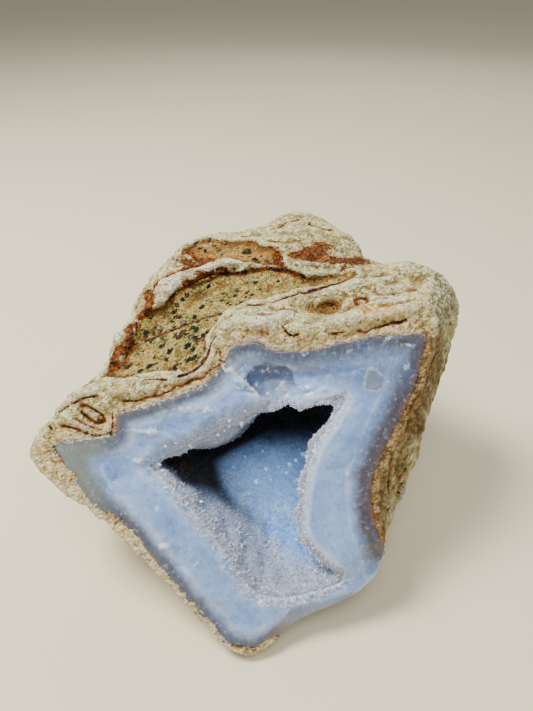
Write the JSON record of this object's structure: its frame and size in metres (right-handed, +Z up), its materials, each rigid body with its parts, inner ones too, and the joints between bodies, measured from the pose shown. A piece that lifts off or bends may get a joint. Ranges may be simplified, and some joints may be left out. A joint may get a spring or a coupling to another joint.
{
  "type": "blue chalcedony",
  "caption": "Broken nodule of blue chalcedony in pale rind and speckled host rock, its hollow lined with small quartz crystals, resting on a worn flat.",
  "frame": {"origin": "on the surface that the stone stands on, under the middle of its bounding box", "axes": "+Z up, +X to the right and +Y away from the viewer who faces the broken front, -Y towards that viewer"},
  "size_m": [0.108, 0.0994, 0.0707],
  "materials": {
    "host_rock": "rough weathered rock",
    "chalcedony": "waxy, slightly translucent broken face",
    "quartz_druse": "sparkling crust of small crystals"
  },
  "bodies": {
    "root": {"matrix": "host_rock", "chalcedony": "chalcedony", "druse": "quartz_druse"}
  },
  "joints": []
}
